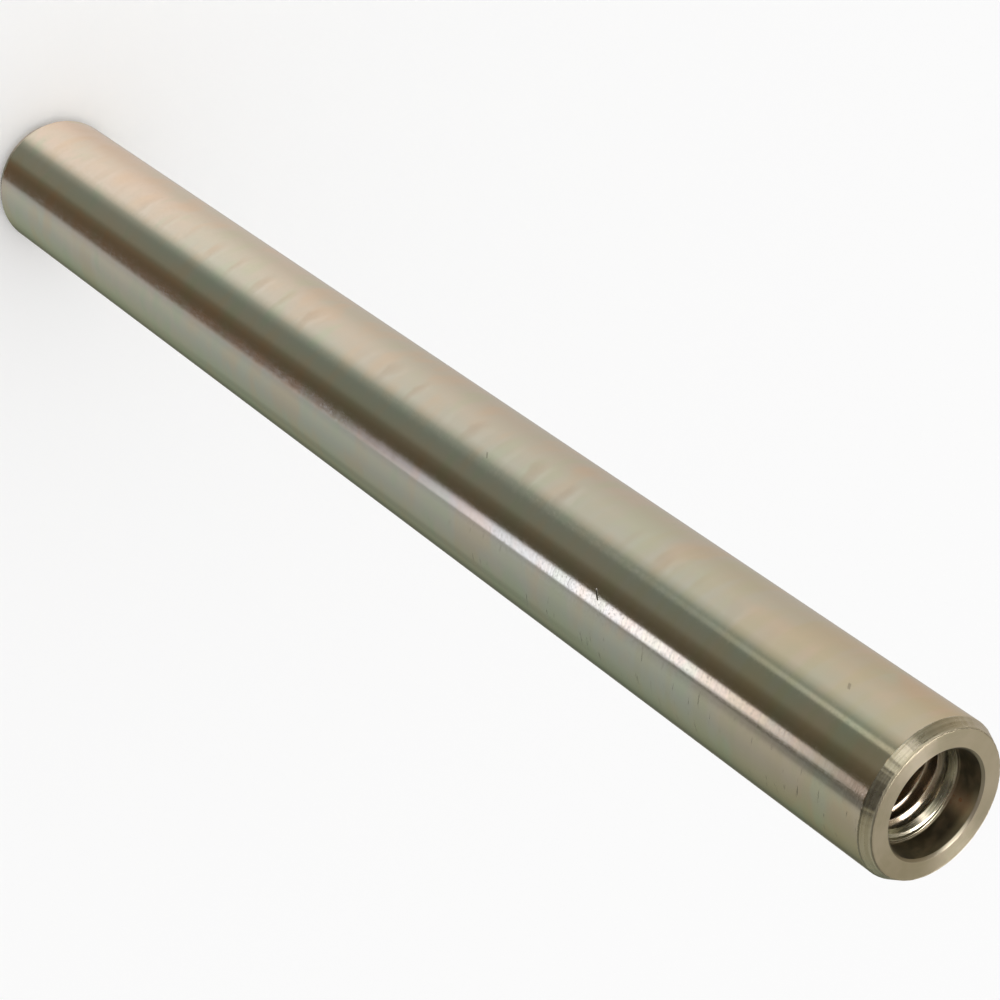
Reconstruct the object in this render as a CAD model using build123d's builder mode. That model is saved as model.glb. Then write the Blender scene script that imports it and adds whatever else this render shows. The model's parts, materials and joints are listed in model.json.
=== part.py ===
from build123d import *
import math
import os

# Pivot pin: a straight shaft turned from round steel bar and ground on its outside.
# One end is counterbored and tapped for the bolt that keeps the pin in place. The other end is plain.
# The pin stands on its plain end. The origin is the centre of that end, and +Z runs along the axis.
# Lengths are in millimetres and angles in degrees.

# Shaft
shaft_diameter = 32.0
shaft_length = 320.0

# Lead-in chamfers: across the end face, and along the shaft
tapped_end_chamfer_across = 1.2
tapped_end_chamfer_along = 2.5
plain_end_chamfer_across = 1.2
plain_end_chamfer_along = 2.5

# Tapped hole: M20 coarse thread, drilled at its tapping size
thread_diameter = 20.0
thread_pitch = 2.5
thread_length = 40.0
tap_run_out = 10.0
drill_point_angle = 118.0

# Counterbore in the tapped end: its wall clears the thread's outer diameter all round
counterbore_clearance = 0.75
counterbore_depth = 5.8
counterbore_edge_break = 0.45
counterbore_corner_radius = 0.35

# Countersink that leads a bolt from the counterbore's floor into the thread
countersink_clearance = 0.2
countersink_angle = 60.0

shaft_radius = shaft_diameter / 2
tapping_radius = (thread_diameter - thread_pitch) / 2
counterbore_radius = thread_diameter / 2 + counterbore_clearance
countersink_radius = thread_diameter / 2 + countersink_clearance
hole_depth = counterbore_depth + thread_length + tap_run_out
drill_shoulder_height = shaft_length - hole_depth


def cone_height(width, included_angle):
    """Height of a cone that narrows by this width, with this angle between its two sides."""
    return width / math.tan(math.radians(included_angle / 2))


def end_chamfer(end_face, across, along):
    """Turn a lead-in chamfer round the outer edge of an end face."""
    rim = end_face.outer_wire().edges()
    chamfer(rim, length=across, length2=along, reference=end_face)


with BuildPart() as pivot_pin:
    # The bar, cut to length
    Cylinder(shaft_radius, shaft_length, align=(Align.CENTER, Align.CENTER, Align.MIN))

    # Lead-in chamfers on both ends
    tapped_end = pivot_pin.faces().sort_by(Axis.Z).last
    end_chamfer(tapped_end, tapped_end_chamfer_across, tapped_end_chamfer_along)
    plain_end = pivot_pin.faces().sort_by(Axis.Z).first
    end_chamfer(plain_end, plain_end_chamfer_across, plain_end_chamfer_along)

    # Blind hole at the tapping size, with its counterbore
    with Locations((0, 0, shaft_length)):
        CounterBoreHole(
            radius=tapping_radius,
            counter_bore_radius=counterbore_radius,
            counter_bore_depth=counterbore_depth,
            depth=hole_depth,
        )

    # Cone that the drill's point leaves at the bottom of the hole
    with BuildSketch(Plane.XZ):
        with BuildLine():
            Polyline(
                (0, drill_shoulder_height - cone_height(tapping_radius, drill_point_angle)),
                (tapping_radius, drill_shoulder_height),
                (0, drill_shoulder_height),
                close=True,
            )
        make_face()
    revolve(axis=Axis.Z, mode=Mode.SUBTRACT)

    # Countersink between the counterbore's floor and the thread
    floor = pivot_pin.faces().filter_by(Plane.XY).sort_by(Axis.Z)[-2]
    thread_mouth = floor.edges().sort_by(SortBy.RADIUS).first
    countersink_across = countersink_radius - tapping_radius
    countersink_along = cone_height(countersink_across, countersink_angle)
    chamfer(thread_mouth, length=countersink_across, length2=countersink_along, reference=floor)

    # Rounded corner round the floor, and broken edge round the mouth
    floor = pivot_pin.faces().filter_by(Plane.XY).sort_by(Axis.Z)[-2]
    fillet(floor.outer_wire().edges(), radius=counterbore_corner_radius)
    mouth = pivot_pin.faces().sort_by(Axis.Z).last.inner_wires().edges()
    chamfer(mouth, length=counterbore_edge_break)

pivot_pin.part.label = "pivot_pin"

os.makedirs("parts", exist_ok=True)
export_step(pivot_pin.part, "parts/pivot_pin.step")

full_diameter_length = shaft_length - tapped_end_chamfer_along - plain_end_chamfer_along
print(f"full-diameter length {full_diameter_length:.2f} mm")
print(f"tapping radius {tapping_radius:.3f} mm, hole depth {hole_depth:.2f} mm")
print(f"volume {pivot_pin.part.volume / 1000:.1f} cm3")
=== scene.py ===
# %% [markdown]
# # A plated pivot pin
#
# The pin is one piece of round steel bar, ground on its outside and counterbored and tapped in one end.
# The construction model is loaded first. It fixes every size, and nothing here changes them. Blender adds
# what the construction leaves out: the fine thread, the tool marks, and the yellow zinc plating.

# %% Load the construction
import bmesh
import bpy
import json
import math
from mathutils import Matrix, Vector, noise


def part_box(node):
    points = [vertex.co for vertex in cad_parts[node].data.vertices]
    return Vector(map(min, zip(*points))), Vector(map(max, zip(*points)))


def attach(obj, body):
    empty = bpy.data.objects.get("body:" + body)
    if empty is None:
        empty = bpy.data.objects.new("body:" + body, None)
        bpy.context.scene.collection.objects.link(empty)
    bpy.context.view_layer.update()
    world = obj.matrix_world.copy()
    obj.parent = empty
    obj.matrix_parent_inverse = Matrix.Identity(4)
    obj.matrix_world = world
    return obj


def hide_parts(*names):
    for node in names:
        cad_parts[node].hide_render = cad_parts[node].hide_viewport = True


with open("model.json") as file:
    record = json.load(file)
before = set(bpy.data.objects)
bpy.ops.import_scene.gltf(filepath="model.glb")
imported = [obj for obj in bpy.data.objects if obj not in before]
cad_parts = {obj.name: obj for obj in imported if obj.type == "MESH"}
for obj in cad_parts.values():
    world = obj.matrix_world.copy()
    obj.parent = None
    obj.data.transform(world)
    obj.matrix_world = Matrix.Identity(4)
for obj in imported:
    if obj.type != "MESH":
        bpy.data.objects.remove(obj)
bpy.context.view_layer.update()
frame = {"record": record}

MM = 0.001

# %% [markdown]
# ## The camera
#
# The pin stands on its plain end, and its tapped end faces up. The camera looks down on it steeply, and
# is rolled about its own line of sight, so that the pin lies across the picture from corner to corner.
# The camera comes first, because every finish below is judged through it.

# %% Place the camera
camera_data = bpy.data.cameras.new("camera")
camera = bpy.data.objects.new("camera", camera_data)
bpy.context.collection.objects.link(camera)
bpy.context.scene.camera = camera

camera_data.sensor_width = 36.0
camera_data.lens = 102.68
camera_distance = 412.03 * MM
camera_height = 596.76 * MM
camera_pitch_down = math.radians(44.477)
camera_heading = math.radians(-0.113)
camera_roll = math.radians(125.45)

upright = Matrix.Rotation(camera_heading, 4, "Z") @ Matrix.Rotation(math.pi / 2 - camera_pitch_down, 4, "X")
camera.matrix_world = (
    Matrix.Translation((0, -camera_distance, camera_height)) @ upright @ Matrix.Rotation(camera_roll, 4, "Z")
)
print("camera at", [round(value, 4) for value in camera.matrix_world.translation])

# %% [markdown]
# ## Sizes of the pin
#
# The outline comes from the construction's box, and the round features from its mounts, so the visible
# pin can't drift away from the solid that it stands for. The depths and the small edges are named here,
# because the mounts only give the lengths that a mating part can use.

# %% Read the sizes
low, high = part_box("pivot_pin")
mounts = {mount["name"]: mount for mount in frame["record"]["mounts"]}

shaft_radius = mounts["shaft"]["dims"]["r_mm"] * MM
pin_length = high[2] - low[2]
tapping_radius = mounts["tapped_hole"]["dims"]["r_mm"] * MM
counterbore_radius = mounts["counterbore"]["dims"]["r_mm"] * MM

chamfer_across = 1.2 * MM
chamfer_along = (pin_length - mounts["shaft"]["dims"]["length_mm"] * MM) / 2
end_face_radius = shaft_radius - chamfer_across
mouth_break = 0.45 * MM
counterbore_depth = 5.8 * MM
corner_radius = 0.35 * MM
countersink_radius = 10.2 * MM
countersink_half_angle = math.radians(30)
hole_depth = 55.8 * MM
drill_point_half_angle = math.radians(59)
print(f"shaft radius {shaft_radius / MM:.2f} mm, length {pin_length / MM:.2f} mm")

# %% [markdown]
# ## Working like a lathe
#
# A turned part is round about one axis, so it can be drawn as a chain of rings. The first ring is a
# circle primitive. Each next ring is the last one extruded along the axis and scaled to its new radius,
# as by hand. Spinning a drawn profile would give the same rings, but here every step names a real face of
# the pin.

# %% Helpers for rings
SEGMENTS = 360


def deselect_objects():
    bpy.ops.object.select_all(action="DESELECT")


def work_on(piece):
    """Select one piece and nothing else, and make it the active one."""
    deselect_objects()
    bpy.context.view_layer.objects.active = piece
    piece.select_set(True)


def edit_all():
    """Open the active piece in edit mode, with all of it selected."""
    bpy.ops.object.mode_set(mode="EDIT")
    bpy.ops.mesh.select_all(action="SELECT")


def first_ring(name, radius, height):
    """Add a circle round the pin's axis and leave it in edit mode with the ring selected."""
    deselect_objects()
    bpy.ops.mesh.primitive_circle_add(vertices=SEGMENTS, radius=radius, fill_type="NOTHING")
    ring = bpy.context.object
    ring.name = name
    ring.data.name = name
    edit_all()
    bpy.ops.transform.translate(value=(0, 0, height))
    return ring


def next_ring(last, radius, height):
    """Extrude the selected ring to a new height, scale it to a new radius, and return its place."""
    last_radius, last_height = last
    bpy.ops.mesh.extrude_edges_move(TRANSFORM_OT_translate={"value": (0, 0, height - last_height)})
    scale = radius / last_radius
    bpy.ops.transform.resize(value=(scale, scale, 1), center_override=(0, 0, height))
    return radius, height


print("each ring gets", SEGMENTS, "points")

# %% [markdown]
# ## The turned body
#
# The profile starts at the plain end, runs up the shaft, over the chamfer and the end face, and then down
# into the counterbore, the countersink and the drilled hole, to the point that the drill leaves. The
# corner of the counterbore is an arc, because the tool that cut it has a rounded tip.

# %% Turn the body
PINHOLE = 0.02 * MM
countersink_depth = (countersink_radius - tapping_radius) / math.tan(countersink_half_angle)
drill_point_depth = tapping_radius / math.tan(drill_point_half_angle)
floor_height = pin_length - counterbore_depth

profile = [
    (shaft_radius, chamfer_along),
    (shaft_radius, pin_length - chamfer_along),
    (end_face_radius, pin_length),
    (counterbore_radius + mouth_break, pin_length),
    (counterbore_radius, pin_length - mouth_break),
]
ARC_STEPS = 6
for step in range(ARC_STEPS + 1):
    angle = math.pi / 2 * step / ARC_STEPS
    profile.append(
        (
            counterbore_radius - corner_radius * (1 - math.cos(angle)),
            floor_height + corner_radius * (1 - math.sin(angle)),
        )
    )
profile += [
    (countersink_radius, floor_height),
    (tapping_radius, floor_height - countersink_depth),
    (tapping_radius, pin_length - hole_depth),
    (PINHOLE, pin_length - hole_depth - drill_point_depth),
]

body = first_ring("pin_body", PINHOLE, 0)
place = next_ring((PINHOLE, 0), end_face_radius, 0)
for radius, height in profile:
    place = next_ring(place, radius, height)
bpy.ops.mesh.merge(type="CENTER")
bpy.ops.mesh.select_all(action="DESELECT")
bpy.ops.object.mode_set(mode="OBJECT")
print(len(profile) + 2, "rings of", SEGMENTS, "points")

# %% [markdown]
# ## Closing the plain end and easing the edges
#
# The rings leave a pinhole at the plain end, which is closed by merging its points. No edge of a real
# turned part is perfectly sharp, and a hair of rounding is what catches the light. Each ring edge gets a
# bevel of its own width, a tenth of a millimetre or so, because a grinding wheel and a drill don't leave
# the same edge.

# %% Close the pole and round the rings
NEAR = 0.004 * MM


def select_ring(radius, height):
    """Select the edges of one ring, found by its place, and report how many there are."""
    mesh = bmesh.from_edit_mesh(body.data)
    for item in [*mesh.verts, *mesh.edges, *mesh.faces]:
        item.select = False
    count = 0
    for edge in mesh.edges:
        if all(abs(end.co.xy.length - radius) < NEAR and abs(end.co.z - height) < NEAR for end in edge.verts):
            edge.select_set(True)
            count += 1
    bmesh.update_edit_mesh(body.data)
    return count


def round_ring(radius, height, width):
    """Bevel one ring edge to a small round of three facets."""
    count = select_ring(radius, height)
    bpy.ops.mesh.bevel(offset=width, segments=3, affect="EDGES", clamp_overlap=True)
    return count


work_on(body)
bpy.ops.object.mode_set(mode="EDIT")
bpy.ops.mesh.select_mode(type="VERT")
select_ring(PINHOLE, 0)
bpy.ops.mesh.merge(type="CENTER")
bpy.ops.mesh.select_mode(type="EDGE")

rounded = [
    round_ring(end_face_radius, 0, 0.10 * MM),
    round_ring(shaft_radius, chamfer_along, 0.15 * MM),
    round_ring(shaft_radius, pin_length - chamfer_along, 0.15 * MM),
    round_ring(end_face_radius, pin_length, 0.10 * MM),
    round_ring(counterbore_radius + mouth_break, pin_length, 0.10 * MM),
    round_ring(counterbore_radius, pin_length - mouth_break, 0.08 * MM),
    round_ring(countersink_radius, floor_height, 0.12 * MM),
    round_ring(tapping_radius, pin_length - hole_depth, 0.10 * MM),
]
bpy.ops.mesh.select_all(action="SELECT")
bpy.ops.mesh.normals_make_consistent(inside=False)
bpy.ops.object.mode_set(mode="OBJECT")
print("edges rounded in each ring:", rounded)

# %% [markdown]
# ## The thread
#
# The thread is an M20 coarse one, so each turn goes 2.5 mm deeper. It is cut as a tap cuts it: a second
# piece, in the shape of the groove, is wound down the hole, and the body loses what that piece fills. A
# pattern of separate rings would look the same from far away, but only a real helix runs out through the
# countersink as it does here. The groove's shape starts as a small ring of eight points, which are set in
# section beside the axis.

# %% Draw the groove's section
THREAD_PITCH = 2.5 * MM
THREAD_LENGTH = 40 * MM
FLANK = math.tan(math.radians(30))
root_radius = 10.12 * MM
crest_ease = 0.06 * MM
crest_flat = 0.16 * MM
crest_radius = tapping_radius + crest_ease
inner_radius = tapping_radius - 0.15 * MM
crest_half_width = THREAD_PITCH / 2 - crest_flat / 2 - crest_ease
root_half_width = crest_half_width - (root_radius - crest_radius) * FLANK
crest_depth_at_far_wall = 9.55 * MM

turns = round(THREAD_LENGTH / THREAD_PITCH)
groove_bottom = pin_length - crest_depth_at_far_wall + THREAD_PITCH / 2 - turns * THREAD_PITCH
lower_half = [
    (root_radius, root_half_width),
    (crest_radius, crest_half_width),
    (tapping_radius, crest_half_width + crest_ease),
    (inner_radius, crest_half_width + crest_ease),
]
outline = [(radius, -half_width) for radius, half_width in lower_half] + lower_half[::-1]

deselect_objects()
bpy.ops.mesh.primitive_circle_add(vertices=len(outline), radius=MM, fill_type="NOTHING")
groove = bpy.context.object
groove.name = "thread_groove"
bpy.ops.object.mode_set(mode="EDIT")
section = bmesh.from_edit_mesh(groove.data)
for vertex, (radius, height) in zip(section.verts, outline):
    vertex.co = (0, radius, groove_bottom + height)
bmesh.update_edit_mesh(groove.data)
bpy.ops.object.mode_set(mode="OBJECT")
print(f"groove {2 * crest_half_width / MM:.2f} mm wide at the crests, {turns} turns")

# %% [markdown]
# ## Winding the helix
#
# A spin in edit mode could wind the section, but the Screw modifier takes the pitch and the number of
# turns as they are. Two turns more than the thread has carry the groove up through the countersink, into
# the open counterbore. Both ends of the helix are then closed, because only a closed piece can be cut
# from another. At the deep end the groove gets shallower over two turns, as the tapered tip of a tap
# leaves it.

# %% Wind the groove into a helix
STEPS_PER_TURN = 120
TURNS_PAST_THE_LIP = 2
RUN_OUT_TURNS = 2


def apply_modifier(piece, kind, **settings):
    """Add one modifier to a piece, set it up and apply it."""
    work_on(piece)
    modifier = piece.modifiers.new(kind, kind)
    for name, setting in settings.items():
        setattr(modifier, name, setting)
    bpy.ops.object.modifier_apply(modifier=kind)


apply_modifier(groove, "SCREW", axis="Z", angle=2 * math.pi, screw_offset=THREAD_PITCH,
               iterations=turns + TURNS_PAST_THE_LIP, steps=STEPS_PER_TURN,
               render_steps=STEPS_PER_TURN, use_merge_vertices=False)

bpy.ops.object.mode_set(mode="EDIT")
bpy.ops.mesh.select_all(action="DESELECT")
bpy.ops.mesh.select_non_manifold(extend=False, use_wire=False, use_boundary=True, use_multi_face=False,
                                 use_non_contiguous=False, use_verts=False)
bpy.ops.mesh.edge_face_add()
bpy.ops.mesh.select_all(action="SELECT")
bpy.ops.mesh.normals_make_consistent(inside=False)
bpy.ops.object.mode_set(mode="OBJECT")

groove_depth = root_radius - tapping_radius
for vertex in groove.data.vertices:
    risen = (vertex.co.z - groove_bottom) / (RUN_OUT_TURNS * THREAD_PITCH)
    shallower = groove_depth * max(0.0, 1.0 - risen)
    vertex.co.xy *= 1 - shallower / vertex.co.xy.length
print("groove helix:", len(groove.data.polygons), "faces")

# %% [markdown]
# ## Cutting the thread
#
# The Boolean modifier takes the helix out of the body. Its exact solver is slower than the fast one, but
# it keeps the thin land between two turns whole. The helix isn't part of the pin, so it is deleted
# afterwards.
#
# Where the helix crosses the wall right on one of its edges, the cut leaves pairs of points a hair apart,
# with slivers of no width between them. Points closer than three thousandths of a millimetre are merged
# into one, so the surface stays closed and clean.

# %% Cut the groove
apply_modifier(body, "BOOLEAN", operation="DIFFERENCE", solver="EXACT", object=groove)
bpy.data.objects.remove(groove, do_unlink=True)

MERGE_DISTANCE = 0.003 * MM
points_before = len(body.data.vertices)
edit_all()
bpy.ops.mesh.remove_doubles(threshold=MERGE_DISTANCE)
bpy.ops.object.mode_set(mode="OBJECT")
print("points merged:", points_before - len(body.data.vertices))

# %% [markdown]
# ## Sharp and smooth edges
#
# Edges that turn by less than 22 degrees are shaded smooth, so the facets of a round surface don't show.
# A tap leaves the edge between each crest of the thread and its flank crisp, whatever its angle, so that
# edge is marked sharp. It is found by its radius.

# %% Mark the crests
SMOOTH_BELOW = math.radians(22)
ON_THE_CREST = 0.01 * MM

bpy.ops.object.shade_smooth_by_angle(angle=SMOOTH_BELOW)
for edge in body.data.edges:
    ends = [body.data.vertices[index].co.xy.length for index in edge.vertices]
    if all(abs(end - crest_radius) < ON_THE_CREST for end in ends):
        edge.use_edge_sharp = True
print("body with its thread:", len(body.data.polygons), "faces")

# %% [markdown]
# ## Torn edges
#
# A turned chamfer meets the ground shaft in a line that isn't clean: the tool lifts and tears the metal a
# tenth of a millimetre here and there. The points of those rings move along the axis by smooth noise,
# which has a fixed pattern, so the same edge comes out every time. The rim of the tapped end's face
# wanders a little too, in and out.

# %% Roughen the chamfer edges
TEAR = 0.22 * MM
RIM_WANDER = 0.004
EDGE_WIDTH = 0.3 * MM


def waves(x, y, z, per_mm):
    """Smooth noise at a place on the pin, with so many waves to the millimetre."""
    return noise.noise(Vector((x, y, z)) / MM * per_mm)


moved = 0
for vertex in body.data.vertices:
    x, y, z = vertex.co
    out = vertex.co.xy.length
    for edge_height in (pin_length - chamfer_along, chamfer_along):
        if out > shaft_radius - EDGE_WIDTH and abs(z - edge_height) < EDGE_WIDTH:
            vertex.co.z += TEAR * (0.5 * waves(x, y, edge_height, 0.8) + 0.7 * waves(x, y, edge_height, 2.6))
            moved += 1
    if abs(out - end_face_radius) < EDGE_WIDTH and z > pin_length - EDGE_WIDTH:
        vertex.co.xy *= 1 + RIM_WANDER * waves(x, y, 0, 1.1)
        moved += 1
print("points moved:", moved)

# %% [markdown]
# ## Straight reflections
#
# Smooth shading blends the direction of each face with its neighbours'. The shaft is one long face from
# end to end next to tiny ones on the rounded edges, so plain smoothing would tilt the light along its
# whole length, as if the shaft were a barrel. Weighting the blend by area keeps the long faces straight
# and leaves the edges soft.

# %% Weight the shading by area
apply_modifier(body, "WEIGHTED_NORMAL", mode="FACE_AREA", keep_sharp=True)
print("custom normals:", body.data.has_custom_normals)

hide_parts("pivot_pin")
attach(body, "root")

# %% [markdown]
# ## Writing materials as sums
#
# A finish is mostly arithmetic on noise: this much of one pattern, more of it near that edge. Python's
# own operators read better than a screen full of wires, so one small class wraps a socket and turns each
# sum into a Math node. Everything else, such as a noise or a colour mix, comes from one method that adds
# any node.

# %% A socket that can be added and multiplied
class Wire:
    """One output socket, with Python's operators."""

    def __init__(self, maker, source):
        self.maker = maker
        self.source = source

    def math(self, operation, *others):
        return self.maker.node("ShaderNodeMath", dict(enumerate([self, *others])), operation=operation)

    def __add__(self, other):
        return self.math("ADD", other)

    def __mul__(self, other):
        return self.math("MULTIPLY", other)

    def __sub__(self, other):
        return self.math("SUBTRACT", other)

    def __truediv__(self, other):
        return self.math("DIVIDE", other)

    def __rsub__(self, other):
        return (self * -1) + other

    __radd__ = __add__
    __rmul__ = __mul__

    def step(self, start, end):
        """Rise smoothly from 0 at start to 1 at end."""
        return self.maker.node("ShaderNodeMapRange", {0: self, 1: start, 2: end},
                               interpolation_type="SMOOTHSTEP")

    def between(self, start, end, blur):
        """One between two values and nothing outside them, with soft edges."""
        return self.step(start - blur, start + blur) * (1 - self.step(end - blur, end + blur))


print("operators:", [name for name in vars(Wire) if name.startswith("__r")])

# %% A maker of nodes
class Maker:
    """Adds nodes to the tree of one material or world."""

    # A Mix node has sockets for numbers and vectors too, under the same names, so its colours go by number.
    FACTOR, FIRST_COLOUR, SECOND_COLOUR, MIXED_COLOUR = 0, 6, 7, 2

    def __init__(self, tree):
        self.tree = tree
        tree.nodes.clear()

    def node(self, kind, values=None, output=0, stops=None, **settings):
        """Add one node, set it up, fill its sockets, and return one of its outputs."""
        made = self.tree.nodes.new(kind)
        for name, setting in settings.items():
            setattr(made, name, setting)
        for index, (position, colour) in enumerate(stops or []):
            ramp = made.color_ramp.elements
            stop = ramp[index] if index < len(ramp) else ramp.new(position)
            stop.position = position
            stop.color = (*colour, 1)
        for name, value in (values or {}).items():
            if isinstance(value, Wire):
                self.tree.links.new(value.source, made.inputs[name])
            else:
                made.inputs[name].default_value = value
        return Wire(self, made.outputs[output]) if made.outputs else None

    def axes(self, vector):
        """The three numbers of a vector."""
        return [self.node("ShaderNodeSeparateXYZ", {0: vector}, output=axis) for axis in range(3)]

    def mix(self, factor, first, second):
        """Mix two colours."""
        first, second = [(*colour, 1) if isinstance(colour, tuple) else colour for colour in (first, second)]
        sockets = {self.FACTOR: factor, self.FIRST_COLOUR: first, self.SECOND_COLOUR: second}
        return self.node("ShaderNodeMix", sockets, output=self.MIXED_COLOUR, data_type="RGBA")

    def coats(self, colour, *layers):
        """Lay coats over a colour, one after another, each given as how much of it and its own colour."""
        for share, coat in layers:
            colour = self.mix(share, colour, coat)
        return colour

    def noise(self, where, size, detail=2.0, roughness=0.5):
        """Noise with features of about one size, given in millimetres along each axis."""
        scale = tuple(1 / (length * MM) for length in size)
        scaled = self.node("ShaderNodeVectorMath", {0: where, 1: scale}, operation="MULTIPLY")
        return self.node("ShaderNodeTexNoise", {"Vector": scaled, "Scale": 1.0, "Detail": detail,
                                                "Roughness": roughness})


print("a maker can add:", [name for name in vars(Maker) if name.islower() and not name.startswith("_")])

# %% [markdown]
# ## One way to start and end every finish
#
# All the finishes here are bare or plated metal with tool marks that run round the pin, so they begin and
# end alike. They begin with the place on the pin as a lathe hand would give it: how far out it reaches
# and how far down it is from the tapped end, in millimetres, and how far it is turned from the camera's
# side, in degrees. They end in a metal shader whose fine marks are a bump. The shine of turned metal is
# drawn out across its marks, which is what anisotropy does, and it is left at one value over each
# surface.

# %% Places and shader of a metal finish
DEGREES = 180 / math.pi
RIM_MM = end_face_radius / MM
CHAMFER_FOOT_MM = chamfer_along / MM
LENGTH_MM = pin_length / MM
finishes = []


def start_finish(name):
    """Add a material; return its maker, the place on the pin, and that place as reach, turned and down."""
    material = bpy.data.materials.new(name)
    material.use_nodes = True
    finishes.append(material)
    maker = Maker(material.node_tree)
    where = maker.node("ShaderNodeTexCoord", output="Object")
    x, y, z = maker.axes(where)
    reach = (x * x + y * y).math("SQRT") / MM
    turned = x.math("ARCTAN2", y * -1) * DEGREES
    down = (pin_length - z) / MM
    return maker, where, reach, turned, down


def end_finish(maker, colour, roughness, height, depth, anisotropic=0.0):
    """Join the pattern to a metal shader. The lay of the finish runs round the axis."""
    bump = maker.node("ShaderNodeBump", {"Height": height, "Distance": depth, "Strength": 1.0})
    shader = maker.node("ShaderNodeBsdfPrincipled", {
        "Base Color": colour, "Metallic": 1.0, "Roughness": roughness, "Normal": bump,
        "Anisotropic": anisotropic, "Anisotropic Rotation": 0.25,
    })
    maker.node("ShaderNodeOutputMaterial", {0: shader})
    print(finishes[-1].name, "has", len(maker.tree.nodes), "nodes")


# %% [markdown]
# ## The ground shaft
#
# A grinding wheel leaves scratches finer than a hair that run round the shaft, so their noise is
# stretched round it and squeezed along it. Yellow zinc plating then lies on them in a film so thin that
# its colour drifts between straw, green and pink. That drift could be one noise into a ramp. Separate
# soft clouds are mixed in one after another instead, so that each colour can be made stronger or weaker
# without moving the others.

# %% Grinding lay and plating colour
maker, where, reach, turned, down = start_finish("ground_shaft")
lay = maker.noise(where, (25, 25, 0.4), detail=4.0, roughness=0.65)
specks = maker.noise(where, (0.6, 0.6, 0.4), detail=3.0, roughness=0.7)
patches = maker.noise(where, (16, 16, 45), detail=2.0)
clouds = maker.noise(where, (15, 15, 8), detail=2.0)
streaks = maker.noise(where, (30, 30, 4), detail=1.0)

plating = maker.coats(
    maker.mix(down.step(4, 70), (0.80, 0.63, 0.42), (0.77, 0.69, 0.56)),
    (down.step(210, LENGTH_MM), (0.84, 0.71, 0.57)),
    (patches.step(0.42, 0.62) * 0.5, (0.68, 0.70, 0.57)),
    (clouds.step(0.48, 0.68) * 0.7, (0.82, 0.67, 0.50)),
    (clouds.step(0.48, 0.32) * 0.6, (0.69, 0.71, 0.53)),
    (streaks.step(0.45, 0.65) * 0.5 * down.step(130, 20), (0.74, 0.66, 0.44)),
)
print("plating colours mixed:", sum(node.bl_idname == "ShaderNodeMix" for node in maker.tree.nodes))

# %% [markdown]
# ## Stains in a row
#
# One side of the shaft carries a row of faint brown smears about ten millimetres apart, each with a paler
# edge, as if the pin had lain on a threaded rod while the bath dried. A cosine along the shaft gives the
# even spacing. Noise is added to the length before the cosine, which bends the smears, and a slower noise
# makes some of them weak, because a perfectly even row would look printed.

# %% Stains
STAIN_SPACING = 10.2
wobble = maker.noise(where, (7, 7, 5), detail=2.0)
own_strength = maker.noise(where, (60, 60, 7), detail=0.0)
along = (down + turned * 0.03 + wobble * 4.5) * (2 * math.pi / STAIN_SPACING)
stained_side = turned.between(-38, -18, 8) * own_strength.step(0.32, 0.62) * down.between(60, 275, 40)
pale_edge = (along + 1.1).math("COSINE").step(0.4, 1.0) * stained_side
stain = along.math("COSINE").step(0.45, 1.0) * stained_side
plating = maker.coats(plating, (pale_edge * 0.35, (0.84, 0.78, 0.66)), (stain * 0.45, (0.66, 0.53, 0.39)))
print("room along the shaft for", round(LENGTH_MM / STAIN_SPACING), "stains")

# %% [markdown]
# ## Nicks and dashes
#
# A few knocks show as short dark scratches, one of them deep enough to break the light beside it. A
# scratch that has its own place can't come from noise, so a small function measures how far a point is
# from a line between two places. The many tiny dashes have no places that matter, and those do come from
# noise.

# %% Nicks
def scratch(start, end, half_width):
    """A scratch between two places, each given as (mm down, degrees round)."""
    (down_1, turned_1), (down_2, turned_2) = start, end
    slope = (down_2 - down_1) / (turned_2 - turned_1)
    off_line = (down - (turned - turned_1) * slope - down_1).math("ABSOLUTE")
    first, last = sorted((turned_1, turned_2))
    return (1 - off_line.step(half_width * 0.4, half_width)) * turned.between(first, last, 0.7)


deep_nick = scratch((78.5, 14.3), (77.3, 19.4), 0.32)
light_nicks = scratch((123.6, -20), (122.4, -16), 0.32) * 0.5 + scratch((19.8, -32), (19.0, -28), 0.5) * 0.4
dashed_side = turned.between(33, 62, 8) * down.step(150, 90)
dashes = maker.noise(where, (4, 4, 0.6), detail=2.0).step(0.66, 0.74) * dashed_side
marks = deep_nick.math("MAXIMUM", light_nicks).math("MAXIMUM", dashes * 0.6)
plating = maker.mix(marks, plating, (0.16, 0.14, 0.11))

rough = lay * 0.12 + specks.step(0.5, 0.7) * 0.10 + marks * 0.3 + 0.07
end_finish(maker, plating, rough, lay + specks * 0.55 - deep_nick * 10, depth=0.0035 * MM, anisotropic=0.5)
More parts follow.
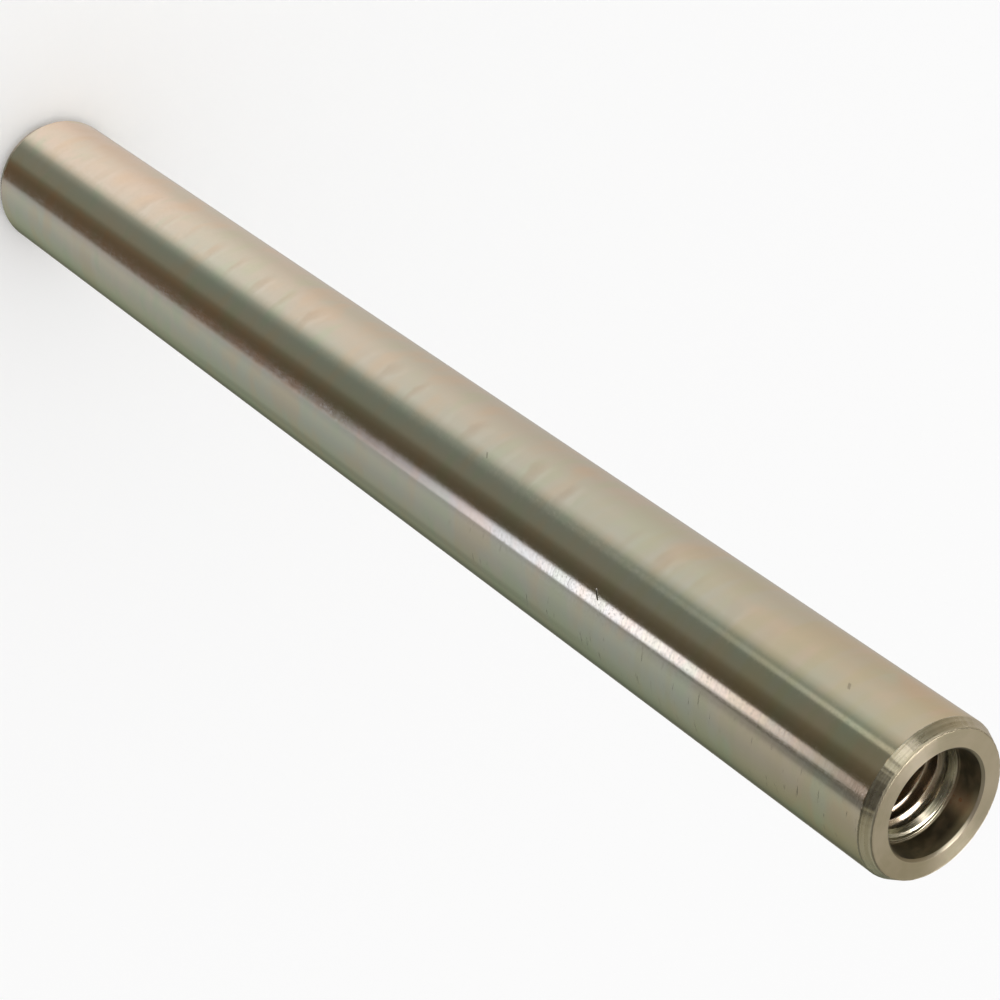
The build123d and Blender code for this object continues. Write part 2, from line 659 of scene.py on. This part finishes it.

# %% [markdown]
# ## The chamfers and the mouth
#
# The chamfers and the broken edge of the counterbore's mouth were turned, not ground, so their rings are
# coarser and their metal is a little torn. On one side of the tapped end the chamfer is darker in a line
# along both of its edges. The rounded edge between it and the end face is rougher all the way round, and
# its darker colour there is painted shade that dims its shine. The plain end's chamfer is browner. One
# material serves them all, and the place on the pin decides which of these shows.

# %% Turned edges
maker, where, reach, turned, down = start_finish("turned_chamfer")
rings = maker.noise(where, (14, 14, 0.35), detail=2.0, roughness=0.6)
tears = maker.noise(where, (3, 3, 0.6), detail=2.0, roughness=0.6)
tarnished_side = turned.between(-130, -72, 10)
plain_end = down.step(LENGTH_MM - 6, LENGTH_MM - 1)
lower_line = down.between(CHAMFER_FOOT_MM - 0.35, CHAMFER_FOOT_MM + 0.25, 0.1)
upper_line = reach.between(RIM_MM - 0.1, RIM_MM + 0.15, 0.05)
# A darker line along both edges of the chamfer on one side.
dark_edge_lines = (lower_line + upper_line) * turned.between(22, 95, 10)
# Painted shade: a darker colour on the rounded rim between chamfer and end face, which dims its shine.
rim_painted_shade = reach.between(RIM_MM - 0.18, RIM_MM + 0.08, 0.04)
rough_edge = reach.between(RIM_MM - 0.2, RIM_MM + 0.18, 0.05)

mouth = reach.step(12.5, 11.5)
# One side of the mouth is a little warmer in colour.
warm_mouth_side = turned.between(75, 135, 14)
mouth_metal = maker.mix(warm_mouth_side, (0.39, 0.36, 0.29), (0.41, 0.36, 0.26))

turned_metal = maker.coats(
    maker.mix(rings.step(0.35, 0.65), (0.62, 0.57, 0.43), (0.78, 0.73, 0.59)),
    (tarnished_side * 0.35, (0.52, 0.46, 0.33)),
    (plain_end * 0.6, (0.45, 0.36, 0.27)),
    (dark_edge_lines * 0.6, (0.17, 0.16, 0.12)),
    (rim_painted_shade * 0.65, (0.36, 0.32, 0.24)),
    (mouth, mouth_metal),
)
rough = tears * 0.2 + 0.19 + mouth * 0.06 + rough_edge * 0.3
end_finish(maker, turned_metal, rough, rings + tears * 0.2, depth=0.006 * MM, anisotropic=0.3)

# %% [markdown]
# ## The faced ends
#
# Facing feeds the tool straight across the turning end, which leaves one fine spiral. Noise laid out by
# distance and angle gives nearly round marks, and anisotropy draws the light on them into the two bright
# lobes that a faced disc always shows. The plating is duller here than on the shaft, darker on one side
# and lighter on the other.

# %% Faced ends
maker, where, reach, turned, down = start_finish("faced_end")
spiral = maker.node("ShaderNodeCombineXYZ", {0: reach / 0.35, 1: turned / 50})
rings = maker.node("ShaderNodeTexNoise", {"Vector": spiral, "Scale": 1.0, "Detail": 3.0})
clouds = maker.noise(where, (3.5, 3.5, 3.5), detail=3.0)
tarnish = maker.noise(where, (12, 12, 12), detail=2.0)
# Darker on one side and lighter on another, by angle round the pin.
dark_side = turned.between(70, 140, 25)
lighter_side = turned.between(-160, -55, 20)
faced_metal = maker.coats(
    maker.mix(clouds.step(0.35, 0.65), (0.69, 0.64, 0.485), (0.79, 0.72, 0.58)),
    (tarnish.step(0.35, 0.7) * 0.45, (0.59, 0.54, 0.39)),
    (rings.step(0.45, 0.7) * 0.3, (0.83, 0.75, 0.61)),
    (dark_side * 0.5, (0.50, 0.44, 0.30)),
    (lighter_side * 0.45, (0.89, 0.81, 0.65)),
)
rough = rings * 0.2 + 0.25 + reach.step(RIM_MM - 0.3, RIM_MM - 0.15) * 0.3
end_finish(maker, faced_metal, rough, rings + clouds * 0.8, depth=0.010 * MM, anisotropic=0.7)

# %% [markdown]
# ## The counterbore
#
# The wall is given a dark colour, which is painted shade inside the hole, and is lighter only near its
# mouth, on the side away from the camera, which is painted light. On one side a soft brown patch is a
# painted reflection, kept in its place by its angle and depth, with very soft edges. A few dots of rust
# stand in it. They come from noise, because their places don't matter.

# %% Counterbore
maker, where, _, turned, down = start_finish("bored_wall")
rings = maker.noise(where, (6, 6, 0.3), detail=3.0)
clouds = maker.noise(where, (3, 3, 2), detail=3.0)
# Painted light: the wall is lighter near the mouth, on the side away from the camera.
mouth_painted_light = down.step(2.6, 0.9) * turned.math("ABSOLUTE").step(135, 158)
# Painted reflection: a soft, lighter brown glow on one side of the wall.
painted_reflection_patch = turned.between(-172, -152, 10) * down.between(0.8, 6.5, 1.2)
rust_dots = maker.noise(where, (1, 1, 1), detail=2.0).step(0.66, 0.72) * painted_reflection_patch
# Painted shade: the wall's dark colours stand in for the shade inside the hole.
wall_painted_shade = maker.coats(
    maker.mix(clouds.step(0.4, 0.7), (0.155, 0.14, 0.10), (0.27, 0.23, 0.16)),
    (mouth_painted_light * 0.75, (0.52, 0.49, 0.34)),
    (painted_reflection_patch * 0.7, (0.37, 0.29, 0.20)),
    (rust_dots * 0.6, (0.27, 0.12, 0.07)),
)
end_finish(maker, wall_painted_shade, clouds * 0.2 + 0.30, rings, depth=0.008 * MM)

# %% [markdown]
# ## The countersink and the thread
#
# The countersink and the flanks of the thread were cut by polished tools and are the smoothest metal on
# the pin. The flat crests between the grooves are only the drilled wall, rough and a little burred, so
# they have a finish of their own. Its rough shine and a much lighter colour, which is a painted highlight,
# make each turn of the thread read as a thin light line, and the flanks' darker colour is painted shade.

# %% Countersink and flanks
maker, where, _, _, down = start_finish("threaded_bore")
rings = maker.noise(where, (6, 6, 0.25), detail=3.0)
clouds = maker.noise(where, (2.5, 2.5, 2), detail=3.0)
# Painted shade: the flanks are coloured darker than the crests.
flank_metal_painted_shade = maker.mix(clouds.step(0.4, 0.7), (0.48, 0.40, 0.30), (0.58, 0.48, 0.37))
cone_metal = maker.mix(rings.step(0.3, 0.7), (0.42, 0.41, 0.32), (0.60, 0.57, 0.46))
in_cone = down.step(9.6, 8.6)
cut_metal = maker.mix(in_cone, flank_metal_painted_shade, cone_metal)
end_finish(maker, cut_metal, rings * 0.15 + in_cone * 0.07 + 0.12, rings, depth=0.006 * MM)

# %% Crests
maker, where, *_ = start_finish("thread_crests")
burrs = maker.noise(where, (1.2, 1.2, 1.2), detail=3.0)
# Painted highlight: the crests are coloured much lighter than the flanks.
crest_metal_painted_highlight = maker.mix(burrs.step(0.3, 0.7), (0.62, 0.54, 0.44), (0.86, 0.80, 0.70))
end_finish(maker, crest_metal_painted_highlight, burrs * 0.2 + 0.38, burrs, depth=0.02 * MM)

# %% [markdown]
# ## Giving each face its finish
#
# The finishes could be painted on by hand in edit mode. The pin is round and every surface has its own
# radius and depth, so a few comparisons sort all the faces, and they sort the new faces of the thread
# just as well.

# %% Sort the faces
body.data.materials.clear()
for finish in finishes:
    body.data.materials.append(finish)
SHAFT, CHAMFER, FACED, BORED, THREADED, CREST = range(len(finishes))
FLAT = 0.97
CLOSE = 0.1 * MM
FIRST_CREST_DEPTH = 8.4 * MM
PLAIN_WALL_LENGTH = 7 * MM


def finish_of(face):
    """Which finish a face has, told from its place."""
    out = math.hypot(face.center.x, face.center.y)
    deep = pin_length - face.center.z
    from_end = min(deep, face.center.z)
    flat = abs(face.normal.z) > FLAT
    if out > end_face_radius - 2.8 * CLOSE and from_end < chamfer_along and not flat:
        return CHAMFER
    if out > shaft_radius - 2 * CLOSE:
        return SHAFT
    if flat and from_end < CLOSE:
        return FACED
    if deep < mouth_break + CLOSE / 2:
        return CHAMFER
    if deep < counterbore_depth + CLOSE and out > countersink_radius + CLOSE:
        return BORED
    if deep > hole_depth - PLAIN_WALL_LENGTH or out > crest_radius or deep < FIRST_CREST_DEPTH:
        return THREADED
    return CREST


counts = [0] * len(finishes)
for polygon in body.data.polygons:
    polygon.material_index = finish_of(polygon)
    counts[polygon.material_index] += 1
print("faces by finish:", dict(zip([finish.name for finish in finishes], counts)))

# %% [markdown]
# ## The floor
#
# The pin stands on a plain sheet of pale paper, wide enough to have no edge in view. It is a matt disc,
# and not a shadow catcher, so the pin's shadow on it is a real one. The paper is hidden from reflections,
# because the cards that are set up next already stand for all that the metal sees below it.

# %% Paper floor
FLOOR_RADIUS = 12
paper = bpy.data.materials.new("paper")
paper.use_nodes = True
maker = Maker(paper.node_tree)
matt = maker.node("ShaderNodeBsdfPrincipled", {
    "Base Color": (0.97, 0.97, 0.97, 1), "Roughness": 1.0, "Specular IOR Level": 0.0,
})
maker.node("ShaderNodeOutputMaterial", {0: matt})
deselect_objects()
bpy.ops.mesh.primitive_circle_add(vertices=96, radius=FLOOR_RADIUS, fill_type="TRIFAN")
floor = bpy.context.object
floor.name = "floor"
floor.data.materials.append(paper)
floor.visible_glossy = False
print("floor radius:", floor.dimensions.x / 2, "m")

# %% [markdown]
# ## The cards round the metal
#
# Polished metal has hardly any look of its own: what shows is the room. Bright metal is lit in a studio
# by standing white, grey and black cards round it, so that each edge shows between light and dark. They
# could be planes with lamps behind them, but the world can hold the same cards without noise or stray
# shadows. Each card is a colour at a direction, given as degrees round the pin from the camera's side and
# degrees up.

# %% Directions in the room
world = bpy.data.worlds.new("studio")
bpy.context.scene.world = world
world.use_nodes = True
maker = Maker(world.node_tree)
direction = maker.node("ShaderNodeTexCoord", output="Generated")
dx, dy, dz = maker.axes(direction)
azimuth = dx.math("ARCTAN2", dy * -1) * DEGREES
rise = dz.math("ARCSINE") * DEGREES
facing = azimuth * 0.5


def row_of_cards(angle, lowest, highest, stops):
    """A row of cards: colours at angles, joined smoothly."""
    share = (angle - lowest) / (highest - lowest)
    places = [((at - lowest) / (highest - lowest), colour) for at, colour in stops]
    return maker.node("ShaderNodeValToRGB", {0: share}, stops=places)


def tint(colour, factor):
    """Multiply two colours."""
    return maker.node("ShaderNodeVectorMath", {0: colour, 1: factor}, operation="MULTIPLY")


def plus(colour, extra):
    """Add two colours."""
    return maker.node("ShaderNodeVectorMath", {0: colour, 1: extra}, operation="ADD")


def lamp(direction_to, wide, narrow, colour, room):
    """A round soft lamp in one direction, from its rim in degrees to its full strength."""
    towards = maker.node("ShaderNodeVectorMath", {0: direction, 1: direction_to}, output="Value",
                         operation="DOT_PRODUCT")
    return maker.mix(towards.step(math.cos(math.radians(wide)), math.cos(math.radians(narrow))), room, colour)


print("world nodes so far:", len(maker.tree.nodes))

# %% [markdown]
# ## The low cards
#
# Seen from above, an upright shaft mirrors only what lies below the horizon, so the cards that shape it
# are low down. A shaft mirrors each of them as a stripe along its whole length. On a cylinder, the
# reflection swings round twice as fast as the surface, so the stripes are placed by half the azimuth,
# which is the angle on the shaft where they show. Deeper reflections show nearer the foot, where the
# stripes drift a little, all but those at the largest angles.

# %% Low cards
WHITE = (1.0, 1.0, 1.0)
BACK = (0.33, 0.31, 0.27)
deep_look = rise.step(-43, -55)
drifted = facing - deep_look * (1 - facing.step(14, 34)) * 3.0
low_cards = row_of_cards(drifted, -90, 90, [
    (-90, BACK),
    (-82, (0.50, 0.46, 0.42)),
    (-60, (0.57, 0.52, 0.48)),
    (-38, (0.66, 0.63, 0.60)),
    (-23, (0.625, 0.635, 0.625)),
    (-18, (0.48, 0.50, 0.47)),
    (-14, (0.25, 0.29, 0.27)),
    (-8, (0.175, 0.20, 0.185)),
    (2.5, (0.19, 0.195, 0.165)),
    (6.5, (0.13, 0.12, 0.09)),
    (12, (0.095, 0.085, 0.062)),
    (24.5, (0.095, 0.088, 0.072)),
    (27.8, (0.35, 0.37, 0.40)),
    (35, (0.40, 0.43, 0.42)),
    (45, (0.33, 0.36, 0.36)),
    (60, (0.275, 0.31, 0.26)),
    (70, (0.20, 0.225, 0.17)),
    (78, (0.095, 0.11, 0.08)),
    (90, BACK),
])
warmth = maker.coats(
    WHITE,
    (deep_look, (1.13, 1.12, 1.10)),
    (deep_look * facing.between(10, 26, 2), (1.28, 1.07, 0.98)),
)
left_side = deep_look * facing.step(-6, -14) * (1 - facing.step(-40, -62) * 0.55)
low_cards = tint(low_cards, warmth)
low_cards = tint(low_cards, maker.mix(left_side, WHITE, (1.25, 1.21, 1.24)))
print("world nodes so far:", len(maker.tree.nodes))

# %% [markdown]
# ## The bright strip
#
# One narrow window strip gives the white streak down the upper half of the shaft. It is brightest a fifth
# of the way down, turns pink towards the tapped end, and narrows and dies out about halfway to the foot.
# A tall thin lamp would give an even streak, so the strip is drawn with its own edges and strength at
# each height instead: where it starts and where it ends round the shaft are each a plain number of
# degrees, with a few soft steps added. A second faint glint on the other side is part of the same window.

# %% Window strip
strip_start = (
    rise.step(-41, -53.5) * 11
    + rise.step(-37.5, -41) * 0.95
    + rise.step(-41.5, -44.5) * 0.65
    + 16.8
)
strip_end = (
    rise.step(-39.8, -41.8) * 0.7
    + rise.step(-41, -47) * 1.3
    - rise.step(-40.3, -37) * 2.3
    + 25.2
)
strip = (facing - strip_start).step(-0.5, 0.5) * (1 - (facing - strip_end).step(-0.9, 0.9))
strength = (rise.step(-46, -42.3) * 1.3 + rise.step(-49, -44) * 0.38) * rise.step(-35.1, -40)
strip_colour = maker.mix(rise.step(-39.5, -42), (0.93, 0.97, 1.13), (0.93, 0.99, 1.30))
strip_colour = maker.mix(rise.step(-39.5, -36), strip_colour, (1.12, 0.84, 0.86))
low_cards = plus(low_cards, tint(strip_colour, strip * strength))

glint = facing.between(-12.4, -9.0, 0.7) * rise.step(-40.5, -35.5) * 0.45
low_cards = plus(low_cards, maker.mix(glint, (0.0, 0.0, 0.0), (0.95, 1.0, 0.95)))
print("world nodes so far:", len(maker.tree.nodes))

# %% [markdown]
# ## Touching up single places
#
# Real cards have folds and gaps. Each touch below darkens, lightens or warms one soft-edged patch of the
# low cards: a dark gap and a thin dark line beside the strip, a lighter patch below it, a warm tail, and
# a fold near the edge of the shaft. They are kept in one list, because each is told by the same three
# things: where it starts and ends round the shaft and how soft it is, the same upwards, and the colour to
# multiply by.

# %% Touches
touches = [
    ((25.8, 31, 1.2), (-36.7, -20, 1.3), (0.3, 0.3, 0.3)),
    ((25.6, 27.4, 0.6), (-41, -36.5, 0.8), (0.55, 0.55, 0.55)),
    ((26, 33, 1.5), (-45, -41.3, 0.8), (1.2, 1.2, 1.2)),
    ((19.5, 27.5, 1.5), (-52, -46.2, 1.2), (1.18, 0.93, 0.76)),
    ((58.5, 65.5, 0.9), (-51, -41.5, 1.0), (0.82, 0.82, 0.82)),
]
for around, upwards, factor in touches:
    touch = facing.between(*around) * rise.between(*upwards)
    low_cards = tint(low_cards, maker.mix(touch, WHITE, factor))
print("touches:", len(touches))

# %% [markdown]
# ## The cards at eye level and above
#
# The chamfer leans outwards, so it mirrors a belt of the room at about eye level, light on one side and
# black in front. The end face and the inside of the hole look up. They see a plain grey ceiling with one
# big white card, a dark corner, a dark middle, and two lamps, whose small hot spots make the thread
# glitter.

# %% Belt and ceiling
belt = row_of_cards(azimuth, -180, 180, [
    (-180, (0.30, 0.27, 0.21)),
    (-115, (0.38, 0.33, 0.25)),
    (-92, (0.29, 0.25, 0.18)),
    (-58, (0.17, 0.16, 0.115)),
    (-48, (0.17, 0.17, 0.13)),
    (-34, (0.26, 0.26, 0.22)),
    (-18, (0.80, 0.79, 0.70)),
    (-8, (0.58, 0.56, 0.49)),
    (-2, (0.23, 0.22, 0.18)),
    (6, (0.04, 0.035, 0.025)),
    (52, (0.035, 0.03, 0.022)),
    (64, (0.30, 0.28, 0.215)),
    (140, (0.33, 0.31, 0.24)),
    (180, (0.30, 0.27, 0.21)),
])
ceiling = maker.coats(
    (0.47, 0.435, 0.375),
    (azimuth.between(-66, 6, 4), (1.9, 1.82, 1.6)),
    (azimuth.between(10, 108, 4), (0.42, 0.37, 0.31)),
    (azimuth.between(108, 155, 4), (0.17, 0.14, 0.11)),
    (rise.step(60, 66), (0.20, 0.16, 0.13)),
)
ceiling = lamp((-0.28, 0.0, 0.96), wide=13, narrow=8, colour=(16.0, 15.0, 14.5), room=ceiling)
print("world nodes so far:", len(maker.tree.nodes))

# %% [markdown]
# ## Cards for the metal, plain light for the rest
#
# The cards are joined from the bottom up. Only glossy rays see them: the paper and the background get an
# even white light of strength 1, at which a colour comes out as it is written. One world can do both,
# because the Light Path node tells which kind of ray is asking.

# %% Join the cards
room = maker.mix(rise.step(-14, -6), low_cards, belt)
room = maker.mix(rise.step(30, 36), room, ceiling)
room = lamp((-0.52, -0.71, 0.47), wide=12, narrow=5, colour=(4.5, 4.1, 4.0), room=room)
glossy_ray = maker.node("ShaderNodeLightPath", output="Is Glossy Ray")
seen = maker.mix(glossy_ray, WHITE, room)
background = maker.node("ShaderNodeBackground", {0: seen, 1: 1.0})
maker.node("ShaderNodeOutputWorld", {0: background})
bpy.context.scene.view_settings.view_transform = "Standard"
print("world nodes:", len(maker.tree.nodes))

# %% [markdown]
# ## Sizes, and the end
#
# The dressed pin must be exactly as large as the construction it stands for.
